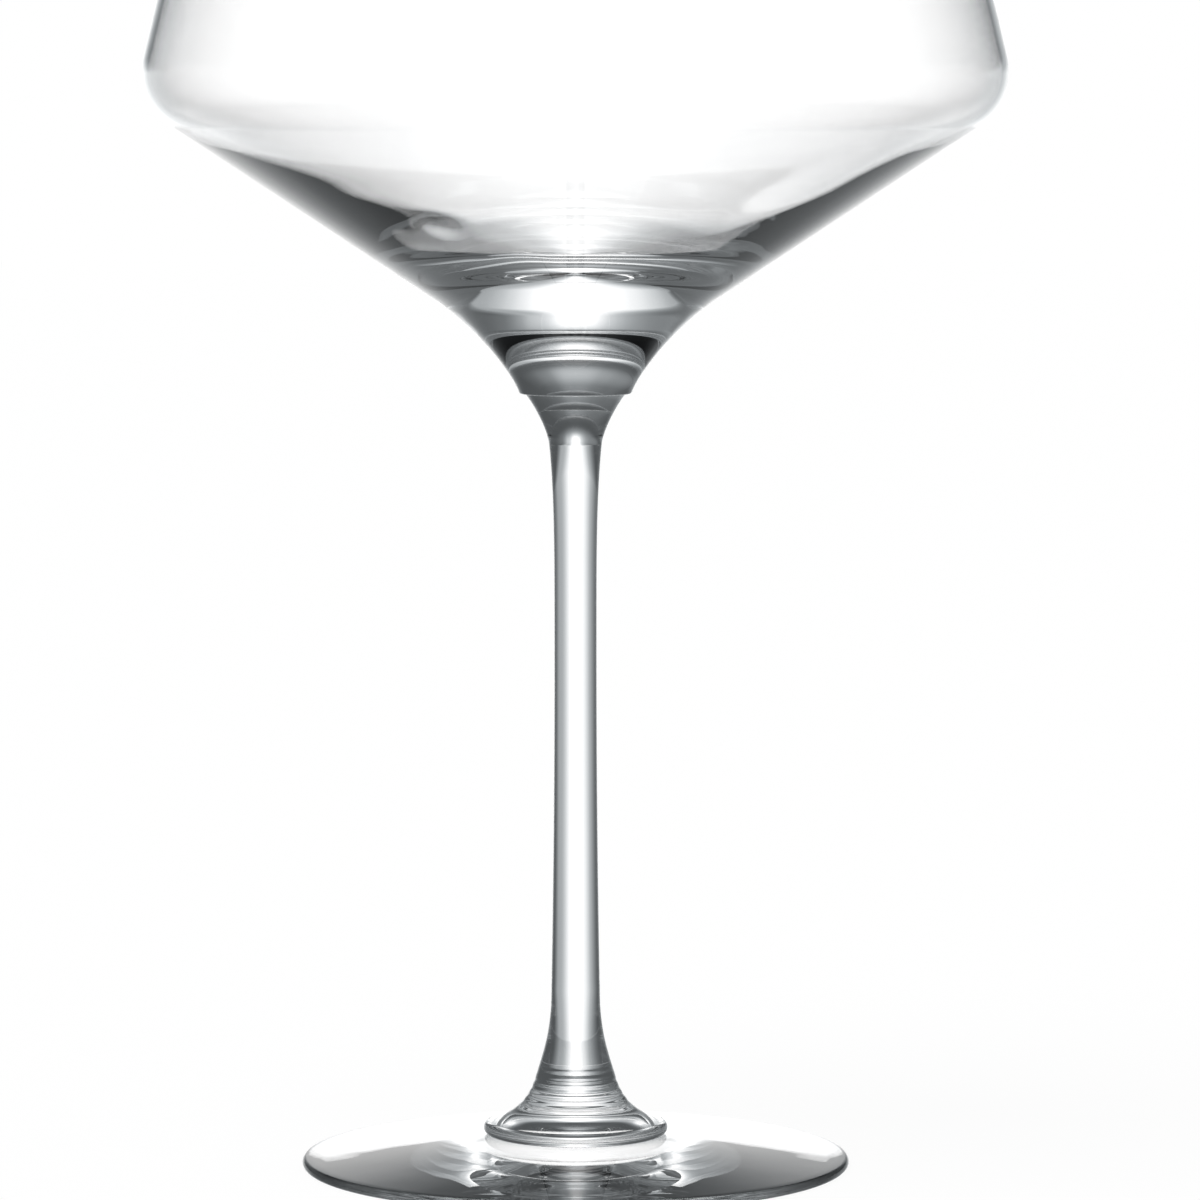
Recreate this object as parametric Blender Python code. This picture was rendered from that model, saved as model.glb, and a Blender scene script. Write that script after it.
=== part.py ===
"""Cocktail coupe in clear glass.

Five pieces of glass stand on one axis and are fused end to end: a pressed foot, a turned base with
a lip, a drawn stem, a collar and a blown bowl.  Each is turned from half of its outline.  Lengths
are in metres, +Z is up, and the origin is the middle of the foot's standing face.
"""

import math

import bmesh
import bpy
from mathutils import Vector
from mathutils.geometry import interpolate_bezier

# Foot: a pressed disc with a low cone on top, a flat seat in the middle and a domed hollow underneath
FOOT_DIAMETER = 0.0710
FOOT_RIM_THICKNESS = 0.0013
FOOT_SLOPE = math.radians(6.8)
STANDING_RING_DIAMETER = 0.0692
STANDING_RING_WIDTH = 0.0016
HOLLOW_DEPTH = 0.0004
DOME_DIAMETER = 0.0350
DOME_HEIGHT = 0.0030

# Base of the stem: flares from the stem down to a thick rounded lip, with turned rings near its top
BASE_DIAMETER = 0.0239
BASE_HEIGHT = 0.0072
BASE_TURN_UP = 0.0030
BASE_TURN_OUT = 0.0033
LIP_THICKNESS = 0.0018
LIP_SLOPE = math.radians(12.0)
RING_COUNT = 4
RING_DEPTH = 0.00006
RING_BAND = 0.0038

# Seams: the pieces meet flat face to flat face, with this film between the two meshes
SEAM_GAP = 0.0003
BASE_SEAM_DIAMETER = 0.0104
BASE_SEAM_FLARE = math.radians(17.0)
COLLAR_SEAM_DIAMETER = 0.0068
COLLAR_SEAM_FLARE = math.radians(7.0)

# Stem: a drawn rod with its waist above the middle and a flare at the lower end
STEM_LENGTH = 0.0819
STEM_WAIST_DIAMETER = 0.00546
STEM_WAIST_HEIGHT = 0.0550
STEM_FLARE_HEIGHT = 0.0112
STEM_FLARE_DIAMETER = 0.0063

# Collar: a short flared gather that carries the bowl
COLLAR_LENGTH = 0.0062
COLLAR_HEAD_DIAMETER = 0.0130
COLLAR_HEAD_FLARE = math.radians(38.0)

# Bowl, outside: the pad on the collar, the curved base, the cone, the shoulder and the upper wall
BOWL_DIAMETER = 0.1110
LEDGE_WIDTH = 0.0007
LEDGE_ROUND = 0.0003
PAD_FLARE = math.radians(22.0)
NECK_DIAMETER = 0.0367
NECK_HEIGHT = 0.0120
CONE_SLOPE = math.radians(33.4)
SHOULDER_RADIUS = 0.0083
WALL_LEAN = math.radians(13.9)
WALL_HEIGHT = 0.0217

# Bowl, inside: an even thin wall, a cone that thickens on the way down, and a heavy floor
WALL_THICKNESS = 0.0009
INNER_SHOULDER_RADIUS = 0.0074
CONE_TAPER = math.radians(4.0)
TAPER_LENGTH = 0.0130
FLOOR_THICKNESS = 0.0170
FLOOR_RADIUS = 0.0255

# Facets round the axis
BOWL_STEPS = 64
FOOT_STEPS = 64
BASE_STEPS = 48
ROD_STEPS = 32


def curve(start, start_pull, end_pull, end, steps):
    """Points of a smooth curve from start to end, drawn towards the two pulls on the way."""
    knots = []
    for radius, height in (start, start_pull, end_pull, end):
        knots.append(Vector((radius, height, 0.0)))
    return [(point.x, point.y) for point in interpolate_bezier(*knots, steps + 1)]


def arc(centre, radius, first, last, steps):
    """Points on a circle from one angle to another, the angles counted from the +radius axis."""
    points = []
    for step in range(steps + 1):
        angle = first + (last - first) * step / steps
        points.append((centre[0] + radius * math.cos(angle), centre[1] + radius * math.sin(angle)))
    return points


def rounded(before, corner, after, radius, steps):
    """Points that round the corner between two straight stretches with an arc of the radius."""
    there = Vector(corner)
    back = (Vector(before) - there).normalized()
    on = (Vector(after) - there).normalized()
    half = back.angle(on) / 2
    reach = radius / math.tan(half)
    centre = there + (back + on).normalized() * radius / math.sin(half)
    first = there + back * reach - centre
    last = there + on * reach - centre
    sweep = first.angle_signed(last)
    start = math.atan2(first.y, first.x)
    return arc(centre, radius, start, start - sweep, steps)


def clear_glass(name, tint):
    """Clear, smooth glass with a faint tint of its own."""
    glass = bpy.data.materials.new(name)
    glass.use_nodes = True
    shader = glass.node_tree.nodes["Principled BSDF"]
    shader.inputs["Base Color"].default_value = (*tint, 1.0)
    shader.inputs["Metallic"].default_value = 0.0
    shader.inputs["Roughness"].default_value = 0.0
    shader.inputs["IOR"].default_value = 1.5
    shader.inputs["Transmission Weight"].default_value = 1.0
    glass.diffuse_color = (*tint, 0.35)
    return glass


def turned(name, outline, steps, seat, glass, parent):
    """One piece, turned about the axis from its outline, which runs from axis to axis."""
    mesh = bpy.data.meshes.new(name)
    shape = bmesh.new()
    corners = [shape.verts.new((radius, 0.0, height)) for radius, height in outline]
    edges = [shape.edges.new(pair) for pair in zip(corners, corners[1:])]
    bmesh.ops.spin(
        shape,
        geom=corners + edges,
        cent=(0.0, 0.0, 0.0),
        axis=(0.0, 0.0, 1.0),
        angle=2 * math.pi,
        steps=steps,
        use_merge=True,
    )
    bmesh.ops.remove_doubles(shape, verts=shape.verts, dist=1e-6)
    bmesh.ops.recalc_face_normals(shape, faces=shape.faces)
    shape.to_mesh(mesh)
    shape.free()
    mesh.shade_smooth()
    mesh.set_sharp_from_angle(angle=math.radians(40.0))
    mesh.materials.append(glass)
    piece = bpy.data.objects.new(name, mesh)
    piece.parent = parent
    piece.location.z = seat
    bpy.context.collection.objects.link(piece)
    return piece


def foot_seat_height():
    """Where the foot's cone reaches the edge of the flat seat under the base of the stem."""
    return FOOT_RIM_THICKNESS + (FOOT_DIAMETER - BASE_DIAMETER) / 2 * math.tan(FOOT_SLOPE)


def foot_outline():
    """From the flat seat, down the low cone, round the rim and under, over the standing ring."""
    half = FOOT_DIAMETER / 2
    edge = FOOT_RIM_THICKNESS / 2
    seat = (BASE_DIAMETER / 2, foot_seat_height())
    ring = STANDING_RING_DIAMETER / 2
    inner = ring - STANDING_RING_WIDTH
    rim = arc((half - edge, edge), edge, math.pi / 2 - FOOT_SLOPE, -math.pi / 3, 5)
    dome = DOME_DIAMETER / 2
    flat = (dome, HOLLOW_DEPTH)
    hollow = curve((inner, 0.0), (inner * 0.85, HOLLOW_DEPTH * 0.5), (dome * 1.5, HOLLOW_DEPTH), flat, 4)
    push = curve(flat, (dome * 0.5, HOLLOW_DEPTH), (dome * 0.5, DOME_HEIGHT), (0.0, DOME_HEIGHT), 7)
    return [(0.0, seat[1]), seat] + rim + [(ring, 0.0)] + hollow + push[1:]


def base_outline():
    """From the flat under the stem, down the ringed flare, round the lip and in along the bottom."""
    seam = (BASE_SEAM_DIAMETER / 2, BASE_HEIGHT)
    round_off = LIP_THICKNESS / 2
    lip_centre = (BASE_DIAMETER / 2 - round_off, round_off)
    lip = arc(lip_centre, round_off, math.pi / 2 - LIP_SLOPE, -math.pi / 2, 6)
    turn_out = (BASE_TURN_OUT * math.cos(LIP_SLOPE), BASE_TURN_OUT * math.sin(LIP_SLOPE))
    flare = curve(
        seam,
        (seam[0] + BASE_TURN_UP * math.tan(BASE_SEAM_FLARE), seam[1] - BASE_TURN_UP),
        (lip[0][0] - turn_out[0], lip[0][1] + turn_out[1]),
        lip[0],
        RING_COUNT * 6,
    )
    ringed = []
    for radius, height in flare[:-1]:
        share = min(1.0, (BASE_HEIGHT - height) / RING_BAND)
        ringed.append((radius - RING_DEPTH * (1 - math.cos(2 * math.pi * RING_COUNT * share)) / 2, height))
    return [(0.0, BASE_HEIGHT)] + ringed + lip + [(0.0, 0.0)]


def stem_outline():
    """From the flat top, down to the waist, on down the long taper and out at the flare."""
    top = COLLAR_SEAM_DIAMETER / 2
    waist = STEM_WAIST_DIAMETER / 2
    flare = STEM_FLARE_DIAMETER / 2
    seam = BASE_SEAM_DIAMETER / 2
    upper = []
    for step in range(9):
        share = 1 - step / 8
        height = STEM_WAIST_HEIGHT + (STEM_LENGTH - STEM_WAIST_HEIGHT) * share
        upper.append((waist + (top - waist) * share ** 4, height))
    lower = []
    for step in range(1, 5):
        share = step / 5
        height = STEM_WAIST_HEIGHT + (STEM_FLARE_HEIGHT - STEM_WAIST_HEIGHT) * share
        lower.append((waist + (flare - waist) * share ** 2, height))
    drop = STEM_FLARE_HEIGHT * 0.5
    climb = STEM_FLARE_HEIGHT * 0.3
    foot_end = curve(
        (flare, STEM_FLARE_HEIGHT),
        (flare, STEM_FLARE_HEIGHT - drop),
        (seam - climb * math.tan(BASE_SEAM_FLARE), climb),
        (seam, 0.0),
        7,
    )
    return [(0.0, STEM_LENGTH)] + upper + lower + foot_end + [(0.0, 0.0)]


def collar_outline():
    """From the flat head under the bowl, in along the hollow flare, to the flat on the stem."""
    head = (COLLAR_HEAD_DIAMETER / 2, COLLAR_LENGTH)
    seam = (COLLAR_SEAM_DIAMETER / 2, 0.0)
    drop = COLLAR_LENGTH * 0.27
    flare = curve(
        head,
        (head[0] - drop * math.tan(COLLAR_HEAD_FLARE), head[1] - drop),
        (seam[0] + drop * math.tan(COLLAR_SEAM_FLARE), drop),
        seam,
        8,
    )
    return [(0.0, COLLAR_LENGTH)] + flare + [(0.0, 0.0)]


def bowl_outline():
    """From the middle of the floor, up the inside, over the rim, and down the outside to the pad."""
    half_turn = (math.pi / 2 - CONE_SLOPE + WALL_LEAN) / 2
    rise = math.tan(CONE_SLOPE)
    up_wall = Vector((-math.sin(WALL_LEAN), math.cos(WALL_LEAN)))
    down_cone = Vector((-math.cos(CONE_SLOPE), -math.sin(CONE_SLOPE)))
    off_cone = Vector((-math.sin(CONE_SLOPE), math.cos(CONE_SLOPE)))
    off_wall = Vector((-math.cos(WALL_LEAN), -math.sin(WALL_LEAN)))

    # Outside, the cone and the wall meet at a corner beyond the rounded shoulder
    out = SHOULDER_RADIUS / math.cos(half_turn) * math.cos(half_turn - WALL_LEAN)
    corner_radius = BOWL_DIAMETER / 2 - SHOULDER_RADIUS + out
    neck = (NECK_DIAMETER / 2, NECK_HEIGHT)
    corner = Vector((corner_radius, NECK_HEIGHT + (corner_radius - neck[0]) * rise))
    rim = corner + up_wall * WALL_HEIGHT / math.cos(WALL_LEAN)
    pad = (COLLAR_HEAD_DIAMETER / 2 + LEDGE_WIDTH, 0.0)
    climb = NECK_HEIGHT * 0.28
    above_pad = (pad[0] + climb * math.tan(PAD_FLARE), climb)
    ledge = rounded(above_pad, pad, (0.0, 0.0), LEDGE_ROUND, 4)
    base = curve(neck, (neck[0] - climb / rise, neck[1] - climb), above_pad, ledge[0], 8)
    shoulder = rounded(rim, corner, neck, SHOULDER_RADIUS, 9)
    edge = WALL_THICKNESS / 2
    lip = arc(rim + off_wall * edge, edge, math.pi + WALL_LEAN, WALL_LEAN, 6)

    # Inside, the wall is even down to the shoulder, and the cone's taper then comes in smoothly
    inner_corner = corner + (up_wall + down_cone).normalized() * WALL_THICKNESS / math.cos(half_turn)
    inner_shoulder = rounded(
        inner_corner + down_cone, inner_corner, inner_corner + up_wall, INNER_SHOULDER_RADIUS, 8
    )
    top_of_cone = Vector(inner_shoulder[0])
    thickening = math.tan(CONE_TAPER) * TAPER_LENGTH
    taper = []
    for step in range(5, 0, -1):
        share = step / 5
        gain = thickening * (share ** 3 - share ** 4 / 2)
        taper.append(tuple(top_of_cone + down_cone * TAPER_LENGTH * share + off_cone * gain))
    end_of_taper = Vector(taper[0])
    inner_slope = math.tan(CONE_SLOPE - CONE_TAPER)
    floor_corner = (end_of_taper.x - (end_of_taper.y - FLOOR_THICKNESS) / inner_slope, FLOOR_THICKNESS)
    floor = rounded((0.0, FLOOR_THICKNESS), floor_corner, end_of_taper, FLOOR_RADIUS, 8)
    inside = [(0.0, FLOOR_THICKNESS)] + floor + taper + inner_shoulder + lip
    return inside + shoulder + base + ledge[1:] + [(0.0, 0.0)]


def build():
    """The five pieces, each seated on the one below it across a seam."""
    for old in list(bpy.data.objects):
        bpy.data.objects.remove(old, do_unlink=True)
    axis = bpy.data.objects.new("coupe_axis", None)
    bpy.context.collection.objects.link(axis)

    base_seat = foot_seat_height() + SEAM_GAP
    stem_seat = base_seat + BASE_HEIGHT + SEAM_GAP
    collar_seat = stem_seat + STEM_LENGTH + SEAM_GAP
    bowl_seat = collar_seat + COLLAR_LENGTH + SEAM_GAP
    foot_glass = clear_glass("foot_glass", (0.93, 0.95, 0.96))
    base_glass = clear_glass("base_glass", (0.93, 0.95, 0.96))
    stem_glass = clear_glass("stem_glass", (0.94, 0.95, 0.96))
    collar_glass = clear_glass("collar_glass", (0.94, 0.95, 0.96))
    bowl_glass = clear_glass("bowl_glass", (0.95, 0.96, 0.97))
    turned("foot", foot_outline(), FOOT_STEPS, 0.0, foot_glass, axis)
    turned("stem_base", base_outline(), BASE_STEPS, base_seat, base_glass, axis)
    turned("stem", stem_outline(), ROD_STEPS, stem_seat, stem_glass, axis)
    turned("collar", collar_outline(), ROD_STEPS, collar_seat, collar_glass, axis)
    turned("bowl", bowl_outline(), BOWL_STEPS, bowl_seat, bowl_glass, axis)


build()
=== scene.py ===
import math

import bpy
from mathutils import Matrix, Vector
from mathutils.geometry import interpolate_bezier


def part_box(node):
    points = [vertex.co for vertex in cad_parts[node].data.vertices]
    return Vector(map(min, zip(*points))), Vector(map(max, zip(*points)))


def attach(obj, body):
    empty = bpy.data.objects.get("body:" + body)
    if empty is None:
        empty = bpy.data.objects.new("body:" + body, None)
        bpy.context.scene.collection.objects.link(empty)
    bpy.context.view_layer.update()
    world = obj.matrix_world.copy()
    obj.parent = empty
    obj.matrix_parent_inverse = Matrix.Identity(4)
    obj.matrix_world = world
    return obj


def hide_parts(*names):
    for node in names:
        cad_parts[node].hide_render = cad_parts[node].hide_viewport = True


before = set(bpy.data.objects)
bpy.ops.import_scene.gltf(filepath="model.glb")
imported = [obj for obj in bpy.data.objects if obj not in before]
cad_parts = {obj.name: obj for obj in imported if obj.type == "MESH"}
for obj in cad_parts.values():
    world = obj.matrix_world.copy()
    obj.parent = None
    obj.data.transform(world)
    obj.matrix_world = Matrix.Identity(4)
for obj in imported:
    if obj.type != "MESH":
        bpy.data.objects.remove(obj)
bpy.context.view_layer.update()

# The foot is a pressed disc of clear glass: a low cone on top, a thin rounded rim and a hollow
# underneath, pushed up to a dome in its middle.  It stands on a narrow flat ring, and the base
# of the stem is fused to a flat seat on top.
foot_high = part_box("foot")[1]
base_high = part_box("stem_base")[1]
foot_radius = foot_high[0]
foot_seat = foot_high[2]
base_radius = base_high[0]
lip_thickness = 0.0018
fused_radius = base_radius - lip_thickness / 2
foot_rim = 0.0013
foot_tuck = math.pi / 3
standing_ring = (0.0330, 0.0346)
hollow_depth = 0.0004
hollow_start = 0.85
hollow_end = 1.5
dome_radius = 0.0175
dome_height = 0.0030
dome_turn = 0.5
foot_waves = (120.0, 120.0, 120.0)
foot_wave_height = 0.00002
seam_hair = 0.00002


def bend(start, start_pull, end_pull, end, steps):
    """Points of a smooth curve from start to end, drawn towards the two pulls on the way."""
    knots = [Vector((*point, 0.0)) for point in (start, start_pull, end_pull, end)]
    return [(point.x, point.y) for point in interpolate_bezier(*knots, steps + 1)]


def sweep(centre, radius, first, last, steps):
    """Points on a circle from one angle to another, the angles counted from the level outwards."""
    angles = [first + (last - first) * step / steps for step in range(steps + 1)]
    across, up = centre
    return [(across + radius * math.cos(angle), up + radius * math.sin(angle)) for angle in angles]


def stretch(start, end, steps):
    """Points along a straight stretch, without its two ends."""
    shares = [step / steps for step in range(1, steps)]
    return [tuple(Vector(start).lerp(Vector(end), share)) for share in shares]


def turn_outline(name, outline, steps):
    """Half of an outline, drawn by extruding one point along it, then spun round the axis."""
    weld = 1e-6
    crease = math.radians(35)
    bpy.ops.object.select_all(action="DESELECT")
    bpy.ops.mesh.primitive_plane_add(size=0.01)
    piece = bpy.context.object
    piece.name = name
    piece.data.name = name
    bpy.ops.object.mode_set(mode="EDIT")
    bpy.ops.mesh.merge(type="CENTER")
    bpy.ops.transform.translate(value=(outline[0][0], 0.0, outline[0][1]))
    for here, there in zip(outline, outline[1:]):
        step = (there[0] - here[0], 0.0, there[1] - here[1])
        bpy.ops.mesh.extrude_vertices_move(TRANSFORM_OT_translate={"value": step})
    bpy.ops.mesh.select_all(action="SELECT")
    bpy.ops.mesh.spin(steps=steps, angle=2 * math.pi, center=(0, 0, 0), axis=(0, 0, 1))
    bpy.ops.mesh.select_all(action="SELECT")
    bpy.ops.mesh.remove_doubles(threshold=weld)
    bpy.ops.mesh.normals_make_consistent(inside=False)
    bpy.ops.object.mode_set(mode="OBJECT")
    bpy.ops.object.shade_smooth_by_angle(angle=crease)
    return piece


def clear_glass(name, waves, height):
    """Clear polished glass with the faint waves that its making leaves, so many a metre each way."""
    glass = bpy.data.materials.new(name)
    glass.use_nodes = True
    nodes = glass.node_tree.nodes
    links = glass.node_tree.links
    shader = nodes["Principled BSDF"]
    shader.inputs["Base Color"].default_value = (1.0, 1.0, 1.0, 1.0)
    shader.inputs["Roughness"].default_value = 0.0
    shader.inputs["IOR"].default_value = 1.5
    shader.inputs["Transmission Weight"].default_value = 1.0
    place = nodes.new("ShaderNodeTexCoord")
    spread = nodes.new("ShaderNodeMapping")
    spread.inputs["Scale"].default_value = waves
    wave = nodes.new("ShaderNodeTexNoise")
    wave.inputs["Scale"].default_value = 1.0
    wave.inputs["Detail"].default_value = 1.0
    swell = nodes.new("ShaderNodeBump")
    swell.inputs["Distance"].default_value = height
    links.new(place.outputs["Object"], spread.inputs["Vector"])
    links.new(spread.outputs["Vector"], wave.inputs["Vector"])
    links.new(wave.outputs["Fac"], swell.inputs["Height"])
    links.new(swell.outputs["Normal"], shader.inputs["Normal"])
    return glass


def fused_seam(name):
    """The inside of a seam, where glass has run into glass and light passes straight on."""
    seam = bpy.data.materials.new(name)
    seam.use_nodes = True
    shader = seam.node_tree.nodes["Principled BSDF"]
    shader.inputs["Base Color"].default_value = (1.0, 1.0, 1.0, 1.0)
    shader.inputs["Roughness"].default_value = 0.0
    shader.inputs["IOR"].default_value = 1.0
    shader.inputs["Transmission Weight"].default_value = 1.0
    return seam


def dress(piece, glass, seam, seam_faces):
    """Glass all over a piece, and the seam's material on its flat faces inside a radius at a height."""
    slack = 5e-6
    flat = 0.99
    piece.data.materials.append(glass)
    piece.data.materials.append(seam)
    for face in piece.data.polygons:
        reach = math.hypot(face.center.x, face.center.y)
        for height, radius in seam_faces:
            at_height = abs(face.center.z - height) < slack
            if at_height and abs(face.normal.z) > flat and reach < radius:
                face.material_index = 1


foot_edge = foot_rim / 2
foot_slope = math.atan2(foot_seat - foot_rim, foot_radius - base_radius)
foot_outline = [(0.0, foot_seat), (fused_radius, foot_seat), (base_radius, foot_seat)]
foot_edge_centre = (foot_radius - foot_edge, foot_edge)
foot_round = sweep(foot_edge_centre, foot_edge, math.pi / 2 - foot_slope, -foot_tuck, steps=20)
foot_outline += stretch(foot_outline[-1], foot_round[0], steps=24)
foot_outline += foot_round
foot_outline += [(standing_ring[1], 0.0)]
foot_outline += bend(
    (standing_ring[0], 0.0),
    (standing_ring[0] * hollow_start, hollow_depth / 2),
    (dome_radius * hollow_end, hollow_depth),
    (dome_radius, hollow_depth),
    steps=30,
)
foot_outline += bend(
    (dome_radius, hollow_depth),
    (dome_radius * dome_turn, hollow_depth),
    (dome_radius * dome_turn, dome_height),
    (0.0, dome_height),
    steps=40,
)[1:]
foot = turn_outline("pressed_foot", foot_outline, steps=200)
seam_glass = fused_seam("fused_seam")
foot_glass = clear_glass("pressed_glass", foot_waves, foot_wave_height)
dress(foot, foot_glass, seam_glass, [(foot_seat, fused_radius)])
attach(foot, "root")
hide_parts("foot")

# The base of the stem is a small skirt of clear glass that spreads from the stem to a thick rounded
# lip.  The tool that shaped it has left faint rings below the stem.  It is fused to the foot below
# and to the stem above.
stem_low, stem_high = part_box("stem")
base_top = base_high[2]
base_seam_radius = stem_high[0]
base_seam_flare = math.radians(17)
lip_slope = math.radians(12)
base_turn_up = 0.0030
base_turn_out = 0.0033
ring_count = 4
ring_depth = 0.00006
ring_band = 0.0038
base_waves = (60.0, 60.0, 900.0)
base_wave_height = 0.000004

lip_half = lip_thickness / 2
base_bottom = foot_seat + seam_hair
lip_centre = (fused_radius, base_bottom + lip_half)
lip = sweep(lip_centre, lip_half, math.pi / 2 - lip_slope, -math.pi / 2, steps=20)
lip_out, lip_up = lip[0]
base_flare = bend(
    (base_seam_radius, base_top),
    (base_seam_radius + base_turn_up * math.tan(base_seam_flare), base_top - base_turn_up),
    (lip_out - base_turn_out * math.cos(lip_slope), lip_up + base_turn_out * math.sin(lip_slope)),
    lip[0],
    steps=90,
)
base_outline = [(0.0, base_top)]
for radius, height in base_flare[:-1]:
    share = min(1.0, (base_top - height) / ring_band)
    ring = ring_depth * (1 - math.cos(2 * math.pi * ring_count * share)) / 2
    base_outline.append((radius - ring, height))
base_outline += lip + [(0.0, base_bottom)]
base = turn_outline("lipped_base", base_outline, steps=160)
base_glass = clear_glass("turned_glass", base_waves, base_wave_height)
dress(base, base_glass, seam_glass, [(base_bottom, fused_radius), (base_top, base_seam_radius)])
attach(base, "root")
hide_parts("stem_base")

# The stem is a solid rod of clear glass, drawn out while hot, which leaves faint lines along it.  It
# is thinnest a little above its middle, widens at its lower end, and is fused to the base and the
# collar.
collar_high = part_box("collar")[1]
stem_bottom = base_top + seam_hair
stem_top = stem_high[2]
stem_end_radius = 0.0034
waist_radius = 0.00273
waist_rise = 0.0550
waist_height = stem_low[2] + waist_rise
flare_radius = 0.00315
flare_rise = 0.0112
flare_height = stem_low[2] + flare_rise
flare_drop = flare_rise * 0.5
flare_climb = flare_rise * 0.3
upper_steps = 60
upper_power = 4
lower_steps = 40
lower_power = 2
stem_waves = (500.0, 500.0, 25.0)
stem_wave_height = 0.000005

stem_outline = [(0.0, stem_top)]
for step in range(upper_steps):
    share = 1 - step / upper_steps
    thickness = waist_radius + (stem_end_radius - waist_radius) * share ** upper_power
    stem_outline.append((thickness, waist_height + (stem_top - waist_height) * share))
for step in range(lower_steps):
    share = step / lower_steps
    thickness = waist_radius + (flare_radius - waist_radius) * share ** lower_power
    stem_outline.append((thickness, waist_height + (flare_height - waist_height) * share))
stem_outline += bend(
    (flare_radius, flare_height),
    (flare_radius, flare_height - flare_drop),
    (base_seam_radius - flare_climb * math.tan(base_seam_flare), stem_bottom + flare_climb),
    (base_seam_radius, stem_bottom),
    steps=50,
)
stem_outline += [(0.0, stem_bottom)]
stem = turn_outline("drawn_stem", stem_outline, steps=96)
stem_glass = clear_glass("drawn_glass", stem_waves, stem_wave_height)
dress(stem, stem_glass, seam_glass, [(stem_bottom, base_seam_radius), (stem_top, stem_end_radius)])
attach(stem, "root")
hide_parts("stem")

# The collar is a short gather of clear glass that spreads from the stem to carry the bowl, and is
# fused to both.  Its curved flare ends just inside the edge of the bowl, which leaves a small ledge.
bowl_low, bowl_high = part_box("bowl")
collar_bottom = stem_top + seam_hair
collar_top = collar_high[2]
collar_radius = collar_high[0]
collar_flare = math.radians(38)
collar_foot_flare = math.radians(7)
collar_turn = 0.27
collar_waves = (250.0, 250.0, 250.0)
collar_wave_height = 0.00001

collar_drop = (collar_top - collar_bottom) * collar_turn
collar_outline = [(0.0, collar_top)]
collar_outline += bend(
    (collar_radius, collar_top),
    (collar_radius - collar_drop * math.tan(collar_flare), collar_top - collar_drop),
    (stem_end_radius + collar_drop * math.tan(collar_foot_flare), collar_bottom + collar_drop),
    (stem_end_radius, collar_bottom),
    steps=40,
)
collar_outline += [(0.0, collar_bottom)]
collar = turn_outline("flared_collar", collar_outline, steps=96)
collar_glass = clear_glass("gathered_glass", collar_waves, collar_wave_height)
dress(collar, collar_glass, seam_glass, [(collar_bottom, stem_end_radius), (collar_top, collar_radius)])
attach(collar, "root")
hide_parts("collar")

# The bowl is clear glass, blown in a mould and fused to the collar: a straight cone, a rounded
# shoulder and a wall that leans in to a fire-polished rim.  It is thin and even down to the shoulder,
# grows thicker down the cone to a heavy floor, and is slightly uneven inside, where no mould touches.
bowl_radius = bowl_high[0]
pad_height = bowl_low[2]
bowl_bottom = collar_top + seam_hair
ledge_width = 0.0007
ledge_round = 0.0003
pad_radius = collar_radius + ledge_width
pad_flare = math.radians(22)
neck_radius = 0.01835
neck_height = 0.0120
neck_turn = 0.28
cone_slope = math.radians(33.4)
wall_lean = math.radians(13.9)
shoulder_radius = 0.0083
inner_shoulder_radius = 0.0074
wall_height = 0.0217
wall_thickness = 0.0009
cone_taper = math.radians(4.0)
taper_length = 0.0130
taper_steps = 40
floor_thickness = 0.0170
floor_radius = 0.0255
bowl_waves = (80.0, 80.0, 80.0)
bowl_wave_height = 0.000006

neck = Vector((neck_radius, pad_height + neck_height))
floor_height = pad_height + floor_thickness
up_wall = Vector((-math.sin(wall_lean), math.cos(wall_lean)))
down_cone = Vector((-math.cos(cone_slope), -math.sin(cone_slope)))
off_cone = Vector((-math.sin(cone_slope), math.cos(cone_slope)))
off_wall = Vector((-math.cos(wall_lean), -math.sin(wall_lean)))
half_turn = (math.pi / 2 - cone_slope + wall_lean) / 2


def shoulder(corner, radius, steps):
    """The arc that rounds the corner between the wall and the cone, from the wall down."""
    centre = corner + (up_wall + down_cone).normalized() * radius / math.cos(half_turn)
    return sweep(centre, radius, wall_lean, cone_slope - math.pi / 2, steps)


corner_share = math.cos(half_turn - wall_lean) / math.cos(half_turn) - 1
corner_reach = bowl_radius + shoulder_radius * corner_share
corner = Vector((corner_reach, neck.y + (corner_reach - neck.x) * math.tan(cone_slope)))
rim = corner + up_wall * wall_height / math.cos(wall_lean)
outer_shoulder = shoulder(corner, shoulder_radius, steps=32)
neck_drop = (neck.y - pad_height) * neck_turn
ledge_reach = ledge_round * math.tan(math.pi / 4 - pad_flare / 2)
ledge_centre = (pad_radius - ledge_reach, bowl_bottom + ledge_round)
ledge = sweep(ledge_centre, ledge_round, -pad_flare, -math.pi / 2, steps=10)
outer_base = bend(
    tuple(neck),
    (neck.x - neck_drop / math.tan(cone_slope), neck.y - neck_drop),
    (pad_radius + neck_drop * math.tan(pad_flare), bowl_bottom + neck_drop),
    ledge[0],
    steps=80,
)
inner_corner = corner + (up_wall + down_cone).normalized() * wall_thickness / math.cos(half_turn)
inner_shoulder = shoulder(inner_corner, inner_shoulder_radius, steps=32)
inner_cone = []
for step in range(1, taper_steps + 1):
    share = step / taper_steps
    gain = math.tan(cone_taper) * taper_length * (share ** 3 - share ** 4 / 2)
    straight = Vector(inner_shoulder[-1]) + down_cone * taper_length * share
    inner_cone.append(tuple(straight + off_cone * gain))
inner_slope = cone_slope - cone_taper
floor_edge = inner_cone[-1][0] - (inner_cone[-1][1] - floor_height) / math.tan(inner_slope)
fillet_reach = floor_radius * math.tan(inner_slope / 2)
fillet_centre = (floor_edge - fillet_reach, floor_height + floor_radius)
fillet = sweep(fillet_centre, floor_radius, inner_slope - math.pi / 2, -math.pi / 2, steps=150)

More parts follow.
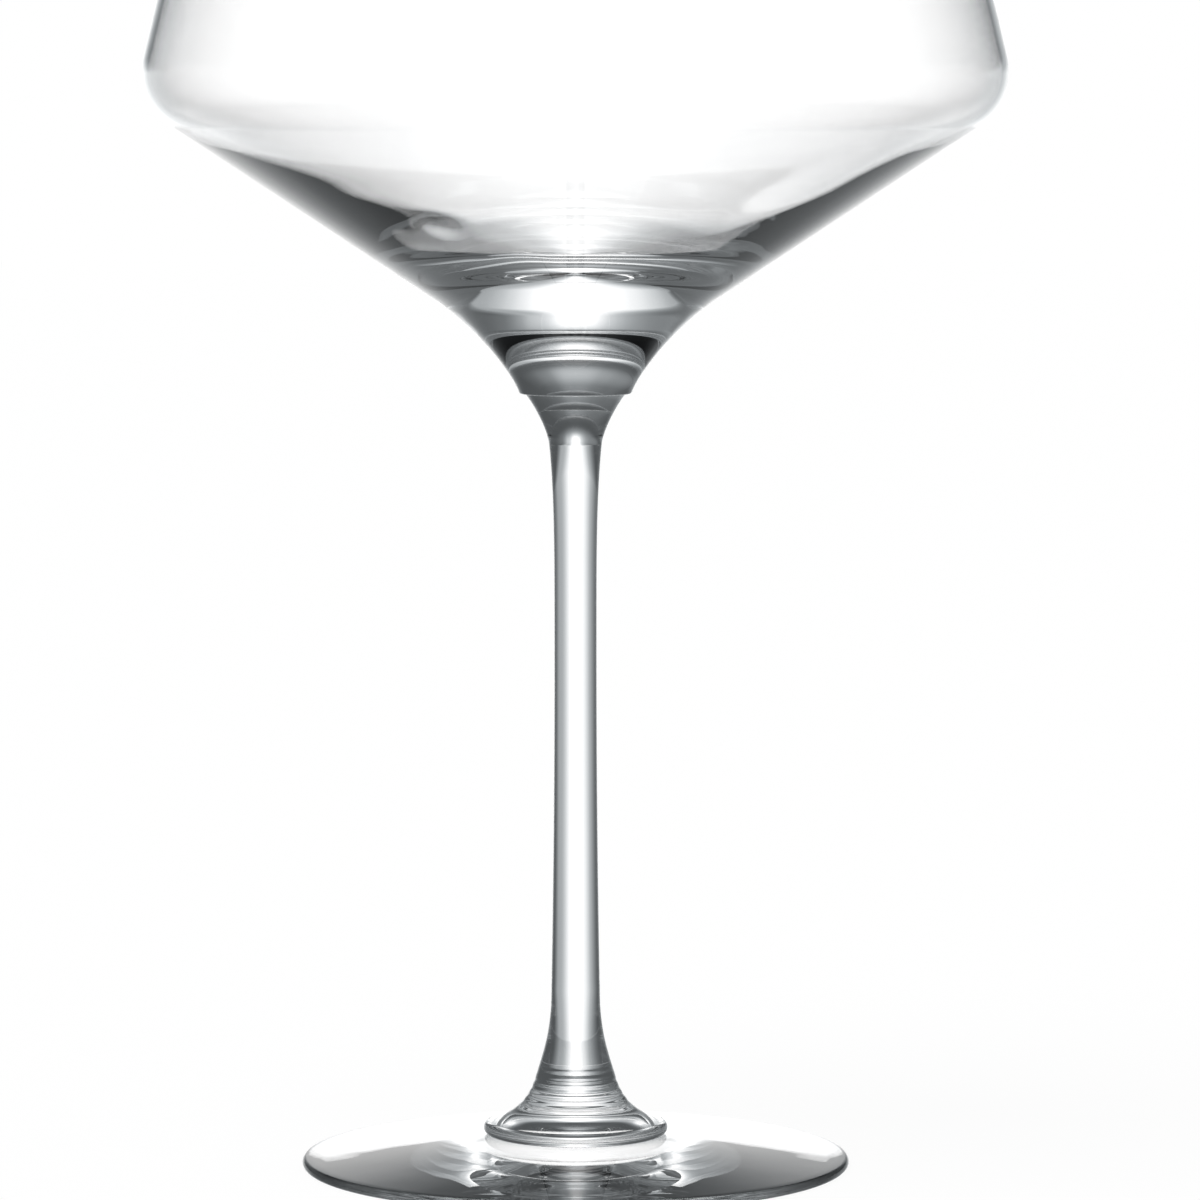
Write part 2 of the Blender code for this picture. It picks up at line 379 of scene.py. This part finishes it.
rim_half = wall_thickness / 2
rim_round = sweep(rim + off_wall * rim_half, rim_half, math.pi + wall_lean, wall_lean, steps=14)
bowl_outline = [(0.0, floor_height)]
bowl_outline += stretch(bowl_outline[0], fillet[-1], steps=10)
bowl_outline += fillet[::-1]
bowl_outline += stretch(fillet[0], inner_cone[-1], steps=16)
bowl_outline += inner_cone[::-1]
bowl_outline += inner_shoulder[::-1]
bowl_outline += stretch(inner_shoulder[0], rim_round[0], steps=14)
bowl_outline += rim_round
bowl_outline += stretch(rim_round[-1], outer_shoulder[0], steps=10)
bowl_outline += outer_shoulder
bowl_outline += stretch(outer_shoulder[-1], neck, steps=10)
bowl_outline += outer_base
bowl_outline += ledge[1:]
bowl_outline += [(collar_radius, bowl_bottom), (0.0, bowl_bottom)]
bowl = turn_outline("blown_bowl", bowl_outline, steps=200)


def ease_inside(angle, radius, lift, reach):
    """Lift the inside at one spot, given by angle and radius, and draw the glass around it along."""
    nearby = 0.001
    turn = math.radians(angle)
    spot = Vector((math.cos(turn), math.sin(turn))) * radius
    bpy.ops.object.select_all(action="DESELECT")
    bowl.select_set(True)
    bpy.context.view_layer.objects.active = bowl
    bpy.ops.object.mode_set(mode="EDIT")
    bpy.ops.mesh.select_all(action="DESELECT")
    bpy.ops.object.mode_set(mode="OBJECT")
    near = [point for point in bowl.data.vertices if (point.co.xy - spot).length < nearby]
    max(near, key=lambda point: point.co.z).select = True
    bpy.ops.object.mode_set(mode="EDIT")
    bpy.ops.transform.translate(
        value=(0.0, 0.0, lift),
        use_proportional_edit=True,
        use_proportional_connected=True,
        proportional_edit_falloff="SMOOTH",
        proportional_size=reach,
    )
    bpy.ops.object.mode_set(mode="OBJECT")


ease_inside(angle=-131, radius=0.0290, lift=0.00011, reach=0.0100)
ease_inside(angle=-119, radius=0.0312, lift=0.00007, reach=0.0045)
ease_inside(angle=-45, radius=0.0355, lift=-0.00010, reach=0.0075)
ease_inside(angle=-36, radius=0.0360, lift=-0.00040, reach=0.0140)
ease_inside(angle=-106, radius=0.0210, lift=0.00008, reach=0.0050)
bowl_glass = clear_glass("blown_glass", bowl_waves, bowl_wave_height)
dress(bowl, bowl_glass, seam_glass, [(bowl_bottom, collar_radius)])
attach(bowl, "root")
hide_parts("bowl")

# The table is a plain white sheet that fades into a white background.  It keeps a faint soft
# shadow under the foot, and the glass looks past it to the lit cloth behind.
table_size = 6.0
paper_colour = (0.9, 0.9, 0.9, 1.0)
paper_roughness = 0.9
white_share = 0.95
bpy.ops.object.select_all(action="DESELECT")
bpy.ops.mesh.primitive_plane_add(size=table_size)
table = bpy.context.object
table.name = "white_table"
table.visible_transmission = False
table.visible_glossy = False
paper = bpy.data.materials.new("white_paper")
paper.use_nodes = True
nodes = paper.node_tree.nodes
links = paper.node_tree.links
matt = nodes["Principled BSDF"]
matt.inputs["Base Color"].default_value = paper_colour
matt.inputs["Roughness"].default_value = paper_roughness
white = nodes.new("ShaderNodeEmission")
white.inputs["Strength"].default_value = 1.0
path = nodes.new("ShaderNodeLightPath")
by_eye = nodes.new("ShaderNodeMath")
by_eye.operation = "MULTIPLY"
by_eye.inputs[1].default_value = white_share
blend = nodes.new("ShaderNodeMixShader")
links.new(path.outputs["Is Camera Ray"], by_eye.inputs[0])
links.new(by_eye.outputs["Value"], blend.inputs["Fac"])
links.new(matt.outputs["BSDF"], blend.inputs[1])
links.new(white.outputs["Emission"], blend.inputs[2])
links.new(blend.outputs["Shader"], nodes["Material Output"].inputs["Surface"])
table.data.materials.append(paper)

# The camera stands level with the bowl and looks slightly down at the middle of the stem.  Its frame
# cuts off the rim, as the photo's does.
camera_place = Vector((0.00316, -0.85, 0.150))
camera_aim = Vector((0.00316, 0.0, 0.07366))
frame_width = 0.1548
sensor_width = 36.0
bpy.ops.object.camera_add(location=camera_place)
camera = bpy.context.object
camera.rotation_euler = (camera_aim - camera_place).to_track_quat("-Z", "Y").to_euler()
camera.data.sensor_width = sensor_width
camera.data.lens = sensor_width * (camera_aim - camera_place).length / frame_width
bpy.context.scene.camera = camera
bpy.context.view_layer.update()

# The light is a long sweep of lit cloth.  It hangs behind the glass, widest level with the stem, and
# a fainter strip of it runs over the glass, in a room that is otherwise dim.  Only mirrored and bent
# rays see it, and it goes with the camera, as if the glass stood on a turntable.
cloth_radius = 6.0
cloth_place = (0.0, 0.0, 0.08)
dim_light = 0.085
dim_tint = (0.93, 1.0, 1.04, 1.0)
cloth_light = 1.2
bpy.ops.object.select_all(action="DESELECT")
bpy.ops.mesh.primitive_uv_sphere_add(segments=64, ring_count=32, radius=cloth_radius)
cloth = bpy.context.object
cloth.name = "lit_cloth"
cloth.location = cloth_place
cloth.visible_camera = False
cloth.visible_shadow = False
cloth.visible_diffuse = False
bpy.context.view_layer.update()
cloth.parent = camera
cloth.matrix_parent_inverse = camera.matrix_world.inverted()
glow = bpy.data.materials.new("cloth_glow")
glow.use_nodes = True
nodes = glow.node_tree.nodes
links = glow.node_tree.links
nodes.remove(nodes["Principled BSDF"])
place = nodes.new("ShaderNodeTexCoord")
outwards = nodes.new("ShaderNodeVectorMath")
outwards.operation = "NORMALIZE"
split = nodes.new("ShaderNodeSeparateXYZ")
links.new(place.outputs["Object"], outwards.inputs[0])
links.new(outwards.outputs["Vector"], split.inputs["Vector"])


def work(operation, first, second=None):
    """One step of arithmetic on the cloth."""
    node = nodes.new("ShaderNodeMath")
    node.operation = operation
    for socket, value in zip(node.inputs, (first, second)):
        if isinstance(value, (int, float)):
            socket.default_value = value
        elif value is not None:
            links.new(value, socket)
    return node.outputs["Value"]


def profile(angle, reach, stops):
    """Light that follows a row of (angle in degrees, level) stops, out to a reach either way."""
    place = nodes.new("ShaderNodeMapRange")
    place.inputs["From Min"].default_value = -math.radians(reach)
    place.inputs["From Max"].default_value = math.radians(reach)
    links.new(angle, place.inputs["Value"])
    ramp = nodes.new("ShaderNodeValToRGB")
    ramp.color_ramp.interpolation = "CARDINAL"
    stop = ramp.color_ramp.elements
    while len(stop) < len(stops):
        stop.new(0.5)
    for mark, (degrees, level) in zip(stop, stops):
        mark.position = (degrees / reach + 1) / 2
        mark.color = (level, level, level, 1.0)
    links.new(place.outputs["Result"], ramp.inputs["Fac"])
    return ramp.outputs["Color"]


behind = [(-72, 0), (-52, 0.08), (-44, 0.15), (-36, 0.25), (-28, 0.4), (-20, 0.66), (-14, 0.84)]
behind += [(-8, 0.97), (-5, 1), (5, 1), (8, 0.93), (12, 0.79), (16, 0.62), (20, 0.47), (26, 0.33)]
behind += [(40, 0.26), (46, 0.16), (54, 0.08), (66, 0)]
standing = [(-150, 0), (-104, 0.1), (-84, 0.75), (-66, 0.9), (-48, 1), (1, 1), (8, 1)]
standing += [(13, 0.92), (17, 0.6), (21, 0.12), (26, 0)]
above = [(-56, 0), (-40, 0.3), (-24, 0.5), (-14, 0.7), (-7, 0.95), (7, 0.95), (14, 0.5)]
above += [(24, 0.2), (36, 0)]
running = [(-170, 0.1), (-120, 0.12), (-100, 0), (4, 0), (9, 0.22), (20, 0.22), (27, 0.02)]
running += [(40, 0.02), (50, 0.04), (60, 0.12), (70, 0.3), (82, 0.36), (100, 0.16), (160, 0.1)]
sideways = work("ARCSINE", split.outputs["X"])
lengthways = work("ARCTAN2", split.outputs["Z"], split.outputs["Y"])


def tighten(start, full, share):
    """How far the cloth narrows between two angles lengthways, in degrees: from 1 to a share."""
    low, high = sorted([(start, 1.0), (full, share)])
    node = nodes.new("ShaderNodeMapRange")
    node.inputs["From Min"].default_value = math.radians(low[0])
    node.inputs["To Min"].default_value = low[1]
    node.inputs["From Max"].default_value = math.radians(high[0])
    node.inputs["To Max"].default_value = high[1]
    links.new(lengthways, node.inputs["Value"])
    return node.outputs["Result"]


below = work("MULTIPLY", sideways, tighten(start=-9, full=-50, share=2.2))
drawn_in = work("MULTIPLY", below, tighten(start=0, full=9, share=3.4))
hung = work(
    "MULTIPLY",
    profile(drawn_in, reach=90, stops=behind),
    profile(lengthways, reach=180, stops=standing),
)
drawn = work(
    "MULTIPLY",
    profile(sideways, reach=90, stops=above),
    profile(lengthways, reach=180, stops=running),
)
lit = work("ADD", hung, drawn)
level = work("ADD", work("MULTIPLY", lit, cloth_light), dim_light)
tint = nodes.new("ShaderNodeMix")
tint.data_type = "RGBA"
tint.inputs[6].default_value = dim_tint
tint.inputs[7].default_value = (1.0, 1.0, 1.0, 1.0)
links.new(lit, tint.inputs[0])
shine = nodes.new("ShaderNodeEmission")
links.new(tint.outputs[2], shine.inputs["Color"])
links.new(level, shine.inputs["Strength"])
links.new(shine.outputs["Emission"], nodes["Material Output"].inputs["Surface"])
cloth.data.materials.append(glow)

# One large soft lamp, high on the left, throws the faint shadow on the table.  The glass neither
# mirrors nor bends it.
lamp_turn = (math.radians(15), math.radians(-20), 0.0)
lamp_spread = math.radians(40)
lamp_strength = 2.2
bpy.ops.object.light_add(type="SUN", rotation=lamp_turn)
lamp = bpy.context.object
lamp.data.angle = lamp_spread
lamp.data.energy = lamp_strength
lamp.visible_glossy = False
lamp.visible_transmission = False

# The room is white to the eye and lights the table evenly.  Where the glass mirrors or bends it, it
# is as dim as the unlit cloth.
ambient_light = 0.5
room = bpy.data.worlds.new("studio")
bpy.context.scene.world = room
room.use_nodes = True
nodes = room.node_tree.nodes
links = room.node_tree.links
ambient = nodes["Background"]
ambient.inputs["Color"].default_value = (1.0, 1.0, 1.0, 1.0)
ambient.inputs["Strength"].default_value = ambient_light
dim = nodes.new("ShaderNodeBackground")
dim.inputs["Color"].default_value = dim_tint
dim.inputs["Strength"].default_value = dim_light
bright = nodes.new("ShaderNodeBackground")
bright.inputs["Color"].default_value = (1.0, 1.0, 1.0, 1.0)
bright.inputs["Strength"].default_value = 1.0
path = nodes.new("ShaderNodeLightPath")
by_glass = nodes.new("ShaderNodeMath")
by_glass.operation = "MAXIMUM"
links.new(path.outputs["Is Glossy Ray"], by_glass.inputs[0])
links.new(path.outputs["Is Transmission Ray"], by_glass.inputs[1])
bent = nodes.new("ShaderNodeMixShader")
links.new(by_glass.outputs["Value"], bent.inputs["Fac"])
links.new(ambient.outputs["Background"], bent.inputs[1])
links.new(dim.outputs["Background"], bent.inputs[2])
seen = nodes.new("ShaderNodeMixShader")
links.new(path.outputs["Is Camera Ray"], seen.inputs["Fac"])
links.new(bent.outputs["Shader"], seen.inputs[1])
links.new(bright.outputs["Background"], seen.inputs[2])
links.new(seen.outputs["Shader"], nodes["World Output"].inputs["Surface"])

# Colours are shown as they are written, and light may pass many times through the heavy floor.
scene = bpy.context.scene
scene.view_settings.view_transform = "Standard"
scene.cycles.max_bounces = 24
scene.cycles.transmission_bounces = 24
scene.cycles.glossy_bounces = 12
